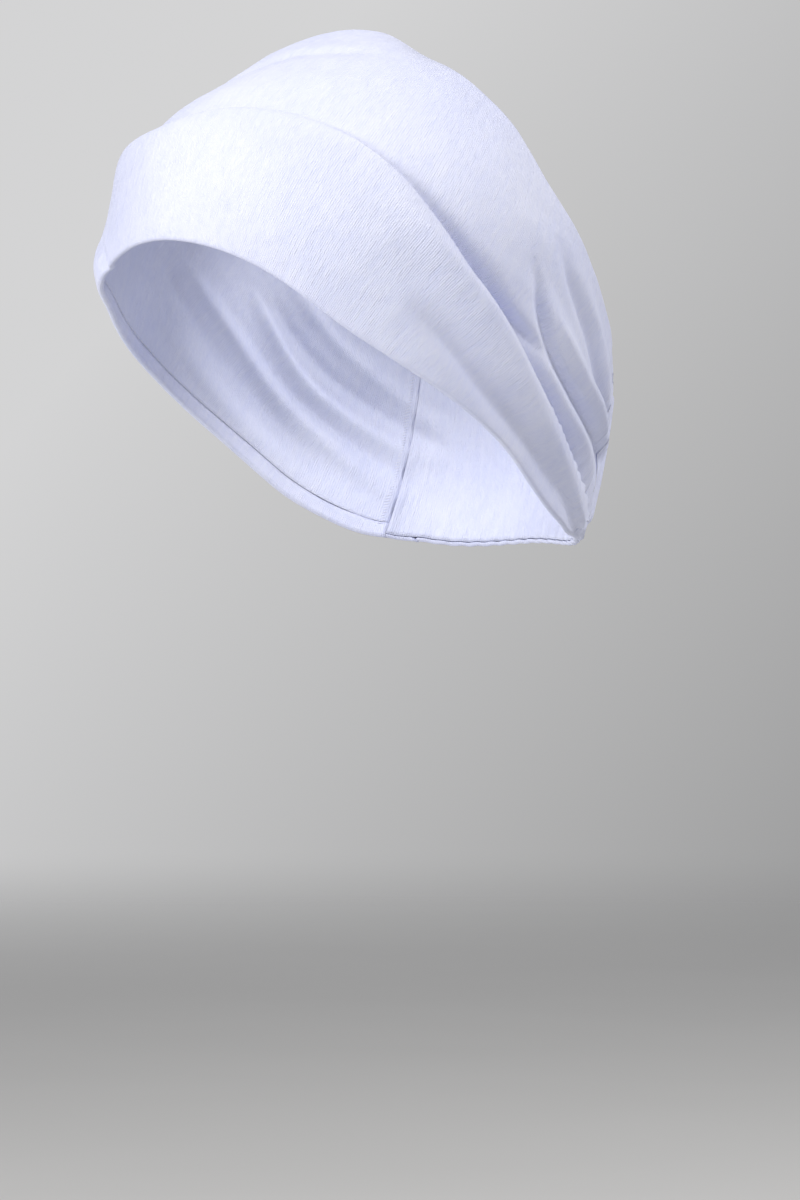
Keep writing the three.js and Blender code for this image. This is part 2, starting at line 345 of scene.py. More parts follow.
def fold_relief(longitude, latitude, fold):
    """How far one fold moves the cloth at each place, in millimetres."""
    t, line = fold_samples(fold.path)
    shrink = np.cos(np.radians(np.mean(line[:, 1])))
    reach = 3 * max(fold.above, fold.below) / MM_PER_DEGREE / np.array([shrink, 1])
    low, high = line.min(axis=0) - reach, line.max(axis=0) + reach
    near = (longitude > low[0]) & (longitude < high[0]) & (latitude > low[1]) & (latitude < high[1])
    relief = np.zeros(longitude.shape)
    if not near.any():
        return relief
    dx = (longitude[near][:, None] - line[:, 0]) * shrink
    dy = latitude[near][:, None] - line[:, 1]
    distance = np.hypot(dx, dy)
    best = np.argmin(distance, axis=1)
    rows = np.arange(len(best))
    distance, side, share = distance[rows, best], dy[rows, best], t[best]
    fade = ramp(share, 0, fold.rise) * ramp(share, 1, 1 - fold.fall)
    width = fold.below + (fold.above - fold.below) * ramp(side * MM_PER_DEGREE, -1.0, 1.0)
    relief[near] = -fold.depth * fade * np.exp(-(distance * MM_PER_DEGREE / width) ** 2)
    return relief


def unevenness(points, wave, seed):
    """Smooth noise of the cloth at these points, from -1 to 1."""
    shift = Vector((seed * 7.3, seed * 3.1, seed * 5.7))
    flat = points.reshape(-1, 3) / wave
    values = [noise.noise(Vector(p) + shift) for p in flat]
    return np.array(values).reshape(points.shape[:-1])


class Drape:
    """How far the cloth stands off its plane at each place."""

    def __init__(self, form, cloth, drape):
        self.form, self.cloth, self.drape = form, cloth, drape

    def panels(self, longitude, latitude):
        """Relief of the panels, in metres."""
        total = np.zeros(longitude.shape)
        for fold in LEFT_FOLDS + RIGHT_FOLDS:
            total += fold_relief(longitude, latitude, fold) * self.drape.fold_scale
        for swell in SWELLS:
            dx = (longitude - swell.centre[0]) / swell.spread[0]
            dy = (latitude - swell.centre[1]) / swell.spread[1]
            total += swell.rise * np.exp(-dx ** 2 - dy ** 2)
        places = np.stack([longitude * 0.45, latitude, np.zeros(longitude.shape)], axis=-1)
        places = places * MM_PER_DEGREE * MM
        broad = unevenness(places, self.drape.ripple_length / 2, self.drape.seed)
        fine = unevenness(places, self.drape.ripple_length / 6, self.drape.seed + 1)
        total += (broad + 0.35 * fine) * self.drape.ripple / MM
        return total * MM * (1 - 0.3 * ramp(np.abs(longitude), 138, 150))

    def pleats(self, longitude, latitude):
        """Small pleats that the panels take up at the rear seams, in metres."""
        near = ramp(np.abs(longitude), 128, 150)
        wave = np.sin(np.radians(latitude * 62 + 40 * np.sin(np.radians(latitude * 17))))
        return 0.35 * MM * near * wave

    def gathers(self, points):
        """Gathers across the casing, from -1 to 1."""
        share = points[..., 0] / self.cloth.seam_x
        drift = unevenness(points, 30 * MM, self.drape.seed + 2)
        wave = np.sin(math.pi * self.drape.gathers * share + 2.6 * drift)
        return np.sign(wave) * np.abs(wave) ** 0.8


# ---------------------------------------------------------------- strips of cloth

class Row(NamedTuple):
    """One line of cloth: the line it follows, its distance above it and its distance off the head."""

    line: object
    above: float
    plane: float


def row_latitude(form, row, longitude):
    base = row.line(longitude)
    return base + form.degrees(longitude, base, row.above)


def seam_longitude(form, row, x, side):
    """Where a row reaches the plane of a rear seam, on the left (1) or the right (-1)."""
    tried = np.linspace(115.0, 175.0, 121) * side
    across = form.place(tried, row_latitude(form, row, tried), row.plane)[:, 0] * side
    return float(np.interp(-x, -across, tried))


def between_lines(lower, upper, share):
    """A line at this share of the way from one line to another."""
    return lambda longitude: lower(longitude) * (1 - share) + upper(longitude) * share


def offset_line(form, line, above):
    """A line that runs this far above another."""
    return lambda longitude: line(longitude) + form.degrees(longitude, line(longitude), above)


def rows_between(lower, upper, count, plane, ends=True):
    """Rows that fill the cloth from one line to another."""
    shares = np.linspace(0, 1, count) if ends else np.linspace(0, 1, count + 2)[1:-1]
    return [Row(between_lines(lower, upper, s), 0.0, plane) for s in shares]


def turned_edge(line, inward, plane, radius, start, stop, steps):
    """Rows round a turned edge. Angles run from -90, the inner plane, to 90, the outer one."""
    rows = []
    for angle in np.radians(np.linspace(start, stop, steps)):
        along = radius * (1 - math.cos(angle))
        out = radius * (1 + math.sin(angle))
        rows.append(Row(line, inward * along, plane + out))
    return rows


def strip_points(form, rows, columns, x, relief, rear=False):
    """The middle surface of a strip: a grid of points, with distances along and up the cloth."""
    grid = []
    for row in rows:
        left, right = seam_longitude(form, row, x, 1), seam_longitude(form, row, x, -1)
        ends = (left, right + 360) if rear else (right, left)
        longitude = np.linspace(*ends, columns)
        latitude = row_latitude(form, row, longitude)
        grid.append((longitude, latitude, np.full(columns, row.plane)))
    longitude, latitude, plane = (np.array(layer) for layer in zip(*grid))
    flat = form.place(longitude, latitude, plane)
    points = form.place(longitude, latitude, plane + relief(longitude, latitude, flat))
    middle = len(rows) // 2
    steps = np.linalg.norm(np.diff(flat[middle], axis=0), axis=-1)
    along = np.broadcast_to(np.concatenate([[0], np.cumsum(steps)]), plane.shape)
    rises = np.linalg.norm(np.diff(flat, axis=0), axis=-1)
    across = np.concatenate([np.zeros((1, columns)), np.cumsum(rises, axis=0)])
    return points, along, across


def grid_normals(points):
    """Unit normals of a grid, outward where columns run anticlockwise and rows run up."""
    normal = np.cross(np.gradient(points, axis=1), np.gradient(points, axis=0))
    return normal / np.linalg.norm(normal, axis=-1, keepdims=True)


def sheet_object(name, points, along, across, thickness):
    """A closed sheet of cloth round its middle surface, with a UV map in metres."""
    rows, columns = points.shape[:2]
    half = grid_normals(points) * thickness / 2
    vertices = np.concatenate([(points + half).reshape(-1, 3), (points - half).reshape(-1, 3)])
    index = np.arange(rows * columns).reshape(rows, columns)
    inner = index + rows * columns
    a, b, c, d = index[:-1, :-1], index[:-1, 1:], index[1:, 1:], index[1:, :-1]
    faces = [np.stack([a, b, c, d], axis=-1).reshape(-1, 4)]
    faces.append(np.stack([a, d, c, b], axis=-1).reshape(-1, 4) + rows * columns)
    faces.append(np.stack([inner[0, :-1], inner[0, 1:], index[0, 1:], index[0, :-1]], axis=-1))
    faces.append(np.stack([index[-1, :-1], index[-1, 1:], inner[-1, 1:], inner[-1, :-1]], axis=-1))
    faces.append(np.stack([inner[:-1, 0], index[:-1, 0], index[1:, 0], inner[1:, 0]], axis=-1))
    faces.append(np.stack([index[:-1, -1], inner[:-1, -1], inner[1:, -1], index[1:, -1]], axis=-1))
    faces = np.concatenate(faces)
    mesh = bpy.data.meshes.new(name)
    mesh.from_pydata(vertices.tolist(), [], faces.tolist())
    cloth_map = np.stack([along.ravel(), across.ravel()], axis=-1)
    corners = np.concatenate([cloth_map, cloth_map])[faces.ravel()]
    layer = mesh.uv_layers.new(name="Cloth")
    layer.data.foreach_set("uv", corners.astype(np.float32).ravel())
    mesh.shade_smooth()
    mesh.validate()
    piece = bpy.data.objects.new(name, mesh)
    bpy.context.scene.collection.objects.link(piece)
    return piece


def flat_size(points):
    """Width, length and area of a strip laid flat, in metres."""
    up = np.linalg.norm(np.diff(points, axis=0), axis=-1)
    along = np.linalg.norm(np.diff(points, axis=1), axis=-1)
    area = float((up[:, :-1] * along[:-1]).sum())
    width, length_ = float(up.sum(axis=0).max()), float(along.sum(axis=1).max())
    return (width, length_), area


# ---------------------------------------------------------------- shader maths

class Value:
    """A number in a shader, which Python's operators turn into Math nodes."""

    def __init__(self, shader, socket):
        self.shader, self.socket = shader, socket

    def math(self, operation, *others):
        values = [self.socket] + [getattr(o, "socket", o) for o in others]
        node = self.shader.node("ShaderNodeMath", {"operation": operation}, dict(enumerate(values)))
        return Value(self.shader, node.outputs[0])

    def __add__(self, other):
        return self.math("ADD", other)

    def __sub__(self, other):
        return self.math("SUBTRACT", other)

    def __rsub__(self, other):
        return Value(self.shader, other).math("SUBTRACT", self)

    def __mul__(self, other):
        return self.math("MULTIPLY", other)

    def __truediv__(self, other):
        return self.math("DIVIDE", other)

    def __rtruediv__(self, other):
        return Value(self.shader, other).math("DIVIDE", self)

    __radd__ = __add__
    __rmul__ = __mul__

    def sin(self):
        return self.math("SINE")

    def absolute(self):
        return self.math("ABSOLUTE")


class Nodes:
    """A node tree, with one call for each node."""

    def __init__(self, tree):
        self.tree = tree

    def feed(self, socket, value):
        """Links a socket to another node's output, or sets it to a constant."""
        value = getattr(value, "socket", value)
        if isinstance(value, bpy.types.NodeSocket):
            self.tree.links.new(value, socket)
        else:
            socket.default_value = value

    def node(self, kind, settings=None, sockets=None):
        """A node with its settings made first, then its sockets."""
        made = self.tree.nodes.new(kind)
        for key, value in (settings or {}).items():
            setattr(made, key, value)
        for key, value in (sockets or {}).items():
            self.feed(made.inputs[key], value)
        return made


class Shader(Nodes):
    """A material's node tree."""

    def __init__(self, name):
        self.material = bpy.data.materials.new(name)
        self.material.use_nodes = True
        super().__init__(self.material.node_tree)
        self.principled = self.tree.nodes["Principled BSDF"]

    def set(self, socket, value):
        self.feed(self.principled.inputs[socket], value)

    def cloth_map(self):
        """Distance along and up the cloth, in metres."""
        uv = self.node("ShaderNodeUVMap", {"uv_map": "Cloth"})
        split = self.node("ShaderNodeSeparateXYZ", sockets={0: uv.outputs[0]})
        return Value(self, split.outputs[0]), Value(self, split.outputs[1])

    def noise(self, scale, detail=3.0, roughness=0.55, vector=None):
        place = vector or self.node("ShaderNodeTexCoord").outputs["Object"]
        sockets = {"Vector": place, "Scale": scale, "Detail": detail, "Roughness": roughness}
        return Value(self, self.node("ShaderNodeTexNoise", sockets=sockets).outputs["Fac"])

    def cloth_noise(self, scale, stretch, detail=2.0):
        """Noise on the cloth's own map, drawn out across the band."""
        uv = self.node("ShaderNodeUVMap", {"uv_map": "Cloth"})
        stretched = {0: uv.outputs[0], 1: (1.0, stretch, 1.0)}
        drawn = self.node("ShaderNodeVectorMath", {"operation": "MULTIPLY"}, stretched)
        return self.noise(scale, detail, 0.6, drawn.outputs[0])

    def mix(self, share, low, high):
        made = self.node("ShaderNodeMix", {"data_type": "RGBA"}, {0: share, 6: low, 7: high})
        return made.outputs[2]

    def bump(self, height, distance, strength=1.0):
        sockets = {"Height": height, "Distance": distance, "Strength": strength}
        made = self.node("ShaderNodeBump", sockets=sockets)
        self.set("Normal", made.outputs[0])


def tint(colour_, *factors):
    """A colour scaled by one factor, or by one for each channel, with full alpha."""
    return tuple(min(c * f, 1.0) for c, f in zip(colour_, factors * 3)) + (1.0,)


def jersey_material(name, colour_, cloth, sheen=0.35):
    """Brushed single jersey: ribs of knitted loops under a fine nap, with a soft sheen."""
    shader = Shader(name)
    along, up = shader.cloth_map()
    nap = shader.cloth_noise(900, 0.30)
    fuzz = shader.cloth_noise(2100, 0.45)
    slub = shader.cloth_noise(330, 0.22)
    cloud = shader.noise(26, 2.0, 0.5)
    phase = along * (2 * math.pi / cloth.wale) + nap * 2.4
    row_phase = up * (2 * math.pi / cloth.course) + (phase * 2.0).sin() * 0.9
    rib = phase.sin() * 0.5 + 0.5
    loops = row_phase.sin() * 0.25
    knit = (rib + loops) * (cloth.knit_depth / MM)
    shader.bump(knit + nap * 0.34 + fuzz * 0.18 + slub * 0.24, MM, 0.9)
    mottle = nap * 0.30 + slub * 0.30 + cloud * 0.40
    shade, light = tint(colour_, 0.74, 0.78, 0.93), tint(colour_, 1.22, 1.19, 1.05)
    shader.set("Base Color", shader.mix(mottle, shade, light))
    shader.set("Roughness", fuzz * 0.55 + 0.30)
    shader.set("Specular IOR Level", 0.5)
    shader.set("Sheen Weight", sheen)
    shader.set("Sheen Roughness", 0.4)
    shader.set("Sheen Tint", tint(colour_, 1.05))
    return shader.material


def elastic_material(name, colour_):
    """Woven elastic: cords of rubber wrapped in a close weave."""
    shader = Shader(name)
    along, up = shader.cloth_map()
    cords = (up * (math.pi / (CORD_PITCH * MM))).sin().absolute()
    weave = (along * (2 * math.pi / (0.6 * MM)) + cords * 3.0).sin() * 0.5 + 0.5
    shader.bump(cords * 0.30 + weave * 0.12, MM, 0.9)
    shader.set("Base Color", shader.mix(weave * cords, tint(colour_, 0.82), tint(colour_, 1.0)))
    shader.set("Roughness", shader.noise(500) * 0.2 + 0.5)
    return shader.material


def thread_material(name, colour_):
    """Spun polyester thread with a slight lustre."""
    shader = Shader(name)
    fibre = shader.noise(2600, 2.0)
    shader.bump(fibre, 0.05 * MM)
    shader.set("Base Color", shader.mix(fibre, tint(colour_, 0.86), tint(colour_, 1.0)))
    shader.set("Roughness", fibre * 0.25 + 0.38)
    shader.set("Sheen Weight", 0.2)
    return shader.material


def backdrop_material(name, colour_):
    """Smooth painted studio card, faintly mottled, which fades out far from the band."""
    shader = Shader(name)
    cloud = shader.noise(3.0, 2.0)
    shader.set("Base Color", shader.mix(cloud, tint(colour_, 0.97), tint(colour_, 1.03)))
    shader.set("Roughness", 0.9)
    shader.set("Specular IOR Level", 0.1)
    place = shader.node("ShaderNodeTexCoord").outputs["Object"]
    reach = shader.node("ShaderNodeVectorMath", {"operation": "LENGTH"}, {0: place}).outputs["Value"]
    ends = {"Value": reach, "From Min": 1.6, "From Max": 4.2, "To Min": 1.0, "To Max": 0.0}
    fade = shader.node("ShaderNodeMapRange", {"interpolation_type": "SMOOTHSTEP"}, ends)
    shader.set("Alpha", fade.outputs["Result"])
    return shader.material


# ---------------------------------------------------------------- stitches

def stitch_tree():
    """Geometry nodes that lay a row of stitches along a path."""
    tree = bpy.data.node_groups.new("Row of stitches", "GeometryNodeTree")
    kinds = {"Path": "Geometry", "Pitch": "Float", "Stitch length": "Float", "Thread radius": "Float",
             "Slant": "Float", "Facing": "Vector", "Thread": "Material"}
    sockets = {}
    for label, kind in kinds.items():
        made = tree.interface.new_socket(label, in_out="INPUT", socket_type="NodeSocket" + kind)
        sockets[label] = made.identifier
    tree.interface.new_socket("Stitches", in_out="OUTPUT", socket_type="NodeSocketGeometry")

    nodes = Nodes(tree)
    given = nodes.node("NodeGroupInput").outputs
    curve = nodes.node("GeometryNodeMeshToCurve", sockets={"Mesh": given["Path"]})
    spacing = {"Curve": curve.outputs["Curve"], "Length": given["Pitch"]}
    spaced = nodes.node("GeometryNodeResampleCurve", {"mode": "LENGTH"}, spacing)

    # each stitch points along the path, faces outward and leans by the slant
    tangent = nodes.node("GeometryNodeInputTangent").outputs["Tangent"]
    aim = nodes.node("FunctionNodeAlignRotationToVector", {"axis": "Z"}, {"Vector": tangent})
    outward = {"Rotation": aim.outputs["Rotation"], "Vector": given["Facing"]}
    face = nodes.node("FunctionNodeAlignRotationToVector", {"axis": "X", "pivot_axis": "Z"}, outward)
    angle = nodes.node("ShaderNodeCombineXYZ", sockets={"X": given["Slant"]})
    slant = nodes.node("FunctionNodeEulerToRotation", sockets={"Euler": angle.outputs["Vector"]})
    lean = {"Rotation": face.outputs["Rotation"], "Rotate By": slant.outputs["Rotation"]}
    turn = nodes.node("FunctionNodeRotateRotation", {"rotation_space": "LOCAL"}, lean)

    # a unit sphere scaled to the thread's radius and half the stitch's length
    capsule = nodes.node("GeometryNodeMeshUVSphere", sockets={"Segments": 8, "Rings": 6, "Radius": 1.0})
    half = nodes.node("ShaderNodeMath", {"operation": "MULTIPLY"}, {0: given["Stitch length"], 1: 0.5})
    extent = {"X": given["Thread radius"], "Y": given["Thread radius"], "Z": half.outputs["Value"]}
    proportions = nodes.node("ShaderNodeCombineXYZ", sockets=extent)
    scaled = {"Geometry": capsule.outputs["Mesh"], "Scale": proportions.outputs["Vector"]}
    shape = nodes.node("GeometryNodeTransform", sockets=scaled)

    laid = {"Points": spaced.outputs["Curve"], "Instance": shape.outputs["Geometry"],
            "Rotation": turn.outputs["Rotation"]}
    place = nodes.node("GeometryNodeInstanceOnPoints", sockets=laid)
    real = nodes.node("GeometryNodeRealizeInstances", sockets={"Geometry": place.outputs["Instances"]})
    painted = {"Geometry": real.outputs["Geometry"], "Material": given["Thread"]}
    paint = nodes.node("GeometryNodeSetMaterial", sockets=painted)
    nodes.node("NodeGroupOutput", sockets={"Stitches": paint.outputs["Geometry"]})
    return tree, sockets


class Stitch(NamedTuple):
    """How a row is sewn: its pitch, and each stitch's length, thread radius and slant."""

    pitch: float
    length: float
    radius: float
    slant: float = 0.0


HEM_STITCH = Stitch(3.0 * MM, 2.3 * MM, 0.17 * MM)
CASING_STITCH = Stitch(3.0 * MM, 2.3 * MM, 0.24 * MM)
JOIN_STITCH = Stitch(1.1 * MM, 2.6 * MM, 0.16 * MM, math.radians(62))
TACK_STITCH = Stitch(0.75 * MM, 3.2 * MM, 0.24 * MM, math.radians(78))


def stitch_row(name, path, stitch, thread, facing):
    """A plain mesh of stitches along a path of points, lying in the cloth that faces this way."""
    mesh = bpy.data.meshes.new(name + "_path")
    mesh.from_pydata(path.tolist(), [(k, k + 1) for k in range(len(path) - 1)], [])
    guide = bpy.data.objects.new(name + "_path", mesh)
    bpy.context.scene.collection.objects.link(guide)
    tree, sockets = stitch_tree()
    modifier = guide.modifiers.new("Stitches", "NODES")
    modifier.node_group = tree
    chosen = {"Pitch": stitch.pitch, "Stitch length": stitch.length, "Thread radius": stitch.radius,
              "Slant": stitch.slant, "Facing": tuple(facing), "Thread": thread}
    for label, value in chosen.items():
        modifier[sockets[label]] = value
    evaluated = guide.evaluated_get(bpy.context.evaluated_depsgraph_get())
    made = bpy.data.meshes.new_from_object(evaluated)
    made.name = name
    made.shade_smooth()
    piece = bpy.data.objects.new(name, made)
    bpy.context.scene.collection.objects.link(piece)
    bpy.data.objects.remove(guide)
    bpy.data.meshes.remove(mesh)
    bpy.data.node_groups.remove(tree)
    return piece


# ---------------------------------------------------------------- pieces


class Workshop:
    """What every operator needs: the sizes, the form and the drape."""

    def __init__(self, context):
        scene = context.scene
        self.cloth, self.drape = scene.headband_cloth, scene.headband_drape
        self.colours, self.stage = scene.headband_colours, scene.headband_stage
        self.form = HeadForm(scene.headband_form)
        self.relief = Drape(self.form, self.cloth, self.drape)
        self.inner = self.cloth.inner_plane
        self.outer = self.inner + 2 * self.cloth.hem_radius

    def panel_relief(self, longitude, latitude, flat):
        """Folds, pleats and the dip at the rear seams, deepest at the lower hem."""
        gap = np.abs(flat[..., 0]) - self.cloth.seam_x
        behind = ramp(flat[..., 1], 20 * MM, 35 * MM) * (0.3 + 0.7 * ramp(latitude, 8, -12))
        dip = self.cloth.seam_dip * np.exp(-(gap / (1.6 * MM)) ** 2) * behind
        return self.relief.panels(longitude, latitude) + self.relief.pleats(longitude, latitude) - dip

    def lining_relief(self, longitude, latitude, flat):
        """The lining follows the panels' broad shape and most of their folds."""
        return self.relief.panels(longitude, latitude) - 0.1 * MM

    def outer_casing_relief(self):
        """The gathered face of the casing, which takes up the lap at each rear seam."""
        return self.casing_relief(self.drape.gather_depth, CASING_LIFT, lapped=True)

    def casing_relief(self, depth, lift, lapped=False):
        """Gathers over the elastic, which take over from the panels' folds past each rear seam."""
        def relief(longitude, latitude, flat):
            lon = wrap(longitude)
            beside = self.cloth.seam_x - np.abs(flat[..., 0])
            share = ramp(beside, 1 * MM, 16 * MM)
            low, high, ridge = lower_hem(lon), upper_hem(lon), ridge_seam(lon)
            metres = np.linalg.norm(flat, axis=-1) * math.pi / 180
            from_low, from_high = (latitude - low) * metres, (high - latitude) * metres
            body = ramp(np.minimum(from_low, from_high), 2 * MM, 9 * MM)
            sewn = 0.0
            for inward in (from_low, from_high):
                sewn = sewn + np.exp(-((inward - self.cloth.casing_stitch) / (1.3 * MM)) ** 2)
            height = depth * body + 0.35 * self.drape.gather_depth * (1 - body)
            ruffle = self.relief.gathers(flat) * height * (1 - 0.35 * sewn)
            panel = self.panel_relief(lon, latitude, flat)
            if lapped:
                lap_low = ridge - (self.cloth.lap + self.cloth.lap_radius) / metres
                up = ramp((latitude - low) / (lap_low - low), BROW_RISE, 1.0)
                panel = panel + self.cloth.lap_lift * up * ramp(latitude, ridge + 1.0, ridge)
            held = lift * (body - STITCH_PULL * sewn) + ruffle
            return held * share + panel * (1 - share)
        return relief

    def outer_jersey(self):
        return material_once("Outer jersey", jersey_material, self.colours.outer, self.cloth)

    def lining_jersey(self):
        return material_once("Lining jersey", jersey_material, self.colours.lining, self.cloth, 0.2)

    def strip(self, name, rows, relief, rear=False, columns=None, thickness=None, inset=0.0):
        """A strip from seam to seam, of jersey if no thickness is given, and its size laid flat."""
        columns = columns or (REAR_COLUMNS if rear else FRONT_COLUMNS)
        thickness = thickness or self.cloth.jersey
        x = self.cloth.seam_x + (-BUTTED if rear else BUTTED) - inset
        points, along, across = strip_points(self.form, rows, columns, x, relief, rear)
        piece = sheet_object(name, points, along, across, thickness)
        return piece, flat_size(points)

    def sew(self, name, path, stitch, facing=(0.0, 1.0, 0.0), rear=False):
        """Stitches along a path in the thread's finish, with their CAD part hidden, and hung on the rear
        body when they are at the rear.
        """
        thread = material_once("Sewing thread", thread_material, self.colours.thread)
        piece = stitch_row(name + "_stitches", path, stitch, thread, facing)
        dress(piece, thread, [name], rear)

    def path(self, row, count, relief, rear=False, inset=0.0):
        """Points along a row of stitches from seam to seam."""
        x = self.cloth.seam_x + (-CLEARANCE / 2 - inset if rear else CLEARANCE / 2 + inset)
        points, _, _ = strip_points(self.form, [row], count, x, relief, rear)
        return points[0]

    def upright_path(self, x, side, first, last, plane, count, relief):
        """Points up the cloth where it crosses a plane beside a rear seam."""
        places = []
        for share in np.linspace(first, last, count):
            row = Row(between_lines(lower_hem, upper_hem, share), 0.0, plane)
            longitude = np.array([seam_longitude(self.form, row, x, side)])
            latitude = row_latitude(self.form, row, longitude)
            flat = self.form.place(longitude, latitude, np.array([plane]))
            offset = plane + relief(longitude, latitude, flat)
            places.append(self.form.place(longitude, latitude, offset)[0])
        return np.array(places)


def dress(piece, material, nodes, rear=False):
    """Gives a piece its finish, hides the CAD parts that it stands for, and hangs a rear piece on the rear
    body or bakes the transform of the others.
    """
    if not piece.data.materials:
        piece.data.materials.append(material)
    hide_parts(*nodes)
    if rear:
        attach(piece, "rear")
    else:
        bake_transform(piece)
    return piece


def material_once(name, make, *values):
    """A material that several pieces share, made on first use."""
    return bpy.data.materials.get(name) or make(name, *values)


FRONT_COLUMNS = 400
LINING_COLUMNS = 320
REAR_COLUMNS = 260
ELASTIC_COLUMNS = 140
# share of the way up the brow panel where it starts to rise to its lap
BROW_RISE = 0.35
# share of the casing's lift that a row of stitches takes back
STITCH_PULL = 7 / 30


class BuildBrowPanel(bpy.types.Operator):
    """Make the outer jersey over the forehead, turned in at the hem and lapped at its top."""

    bl_idname = "headband.brow_panel"
    bl_label = "Brow panel"

    def execute(self, context):
        shop = Workshop(context)
        cloth, form = shop.cloth, shop.form
        radius, lap_plane = cloth.hem_radius, shop.outer + cloth.lap_lift
        rows = [Row(lower_hem, radius + cloth.turn * s, shop.inner) for s in (1, 0.66, 0.33, 0.05)]
        rows += turned_edge(lower_hem, 1, shop.inner, radius, -80, 80, 8)
        face_low = offset_line(form, lower_hem, radius + 0.2 * MM)
        face_high = offset_line(form, ridge_seam, -cloth.lap - cloth.lap_radius)
        face = rows_between(face_low, face_high, 44, shop.outer)
        rise = ramp(np.linspace(0, 1, len(face)), BROW_RISE, 1.0) * cloth.lap_lift
        rows += [row._replace(plane=row.plane + float(up)) for row, up in zip(face, rise)]
        under = lap_plane - 2 * cloth.lap_radius
        below = [-cloth.lap * s - cloth.lap_radius for s in (0.75, 0.5, 0.25, 0.05, 0.1, 0.4, 0.7)]
        rows += [Row(ridge_seam, down, lap_plane) for down in below[:4]]
        rows += turned_edge(ridge_seam, -1, under, cloth.lap_radius, 80, -80, 8)
        rows += [Row(ridge_seam, down, under) for down in below[4:]]
        piece, (flat, area) = shop.strip("brow_panel_cloth", rows, shop.panel_relief)
        dress(piece, shop.outer_jersey(), ["brow_panel"])
        return {"FINISHED"}


class BuildCrownPanel(bpy.types.Operator):
    """Make the outer jersey from under the brow panel's lap up to the upper hem."""

    bl_idname = "headband.crown_panel"
    bl_label = "Crown panel"

    def execute(self, context):
        shop = Workshop(context)
        form, radius = shop.form, shop.cloth.hem_radius
        face_low = offset_line(form, ridge_seam, -shop.cloth.lap)
        face_high = offset_line(form, upper_hem, -radius - 0.2 * MM)
        rows = rows_between(face_low, face_high, 70, shop.outer)
        rows += turned_edge(upper_hem, -1, shop.inner, radius, 80, -20, 8)
        piece, (flat, area) = shop.strip("crown_panel_cloth", rows, shop.panel_relief)
        dress(piece, shop.outer_jersey(), ["crown_panel"])
        return {"FINISHED"}


class BuildLining(bpy.types.Operator):
    """Make the inner jersey, which shows past the upper hem behind the temples."""

    bl_idname = "headband.lining"
    bl_label = "Lining"

    def execute(self, context):
        shop = Workshop(context)
        cloth, form = shop.cloth, shop.form

        def peeking_hem(longitude):
            share = np.exp(-((np.abs(wrap(longitude)) - 56) / 15) ** 2)
            hem = upper_hem(longitude)
            return hem + form.degrees(longitude, hem, cloth.peek * share)

        face_low = offset_line(form, lower_hem, cloth.hem_radius + cloth.turn + 0.2 * MM)
        face_high = offset_line(form, peeking_hem, -0.7 * MM)
        rows = rows_between(face_low, face_high, 84, shop.inner)
        rows += turned_edge(peeking_hem, -1, shop.inner, 0.5 * MM, -70, -5, 4)
        name, relief = "lining_panel_cloth", shop.lining_relief
        piece, (flat, area) = shop.strip(name, rows, relief, columns=LINING_COLUMNS)
        dress(piece, shop.lining_jersey(), ["lining_panel"])
        return {"FINISHED"}


class BuildCasing(bpy.types.Operator):
    """Make the two layers of the nape casing, gathered on the elastic."""

    bl_idname = "headband.casing"
    bl_label = "Nape casing"

    def execute(self, context):
        shop = Workshop(context)
        form, radius = shop.form, shop.cloth.hem_radius
        face_low = offset_line(form, lower_hem, radius + 0.2 * MM)
        face_high = offset_line(form, upper_hem, -radius - 0.2 * MM)
        rows = turned_edge(lower_hem, 1, shop.inner, radius, -75, 80, 11)
        rows += rows_between(face_low, face_high, 44, shop.outer)
        rows += turned_edge(upper_hem, -1, shop.inner, radius, 80, -75, 11)
        relief = shop.outer_casing_relief()
        outer, (flat, area) = shop.strip("rear_casing_outer_cloth", rows, relief, rear=True)
        dress(outer, shop.outer_jersey(), ["rear_casing_outer"], rear=True)

        face_low = offset_line(form, lower_hem, radius)
        face_high = offset_line(form, upper_hem, -radius)
        rows = rows_between(face_low, face_high, 40, shop.inner)
        relief = shop.casing_relief(0.12 * MM, 0.0)
        inner, (flat, area) = shop.strip("rear_casing_inner_cloth", rows, relief, rear=True)
        dress(inner, shop.lining_jersey(), ["rear_casing_inner"], rear=True)
        return {"FINISHED"}


def casing_middle(longitude):
    """The line halfway across the casing."""
    return (lower_hem(longitude) + upper_hem(longitude)) / 2


class BuildElastic(bpy.types.Operator):
    """Make the woven elastic that runs inside the casing."""

    bl_idname = "headband.elastic"
    bl_label = "Elastic"

    def execute(self, context):
        shop = Workshop(context)
        low = offset_line(shop.form, casing_middle, -ELASTIC_WIDTH / 2)
        high = offset_line(shop.form, casing_middle, ELASTIC_WIDTH / 2)
        rows = rows_between(low, high, 49, ELASTIC_PLANE)
        under = shop.casing_relief(0.0, 0.0)

        def cords(longitude, latitude, flat):
            up = (latitude - low(longitude)) * MM_PER_DEGREE
            return under(longitude, latitude, flat) + 0.05 * MM * np.cos(2 * math.pi * up / CORD_PITCH)

        name = "elastic_strip_webbing"
        piece, (flat, area) = shop.strip(
            name, rows, cords, True, ELASTIC_COLUMNS, ELASTIC_THICKNESS, ELASTIC_INSET)
        webbing = material_once("Woven elastic", elastic_material, shop.colours.elastic)
        dress(piece, webbing, ["elastic_strip"], rear=True)
        return {"FINISHED"}


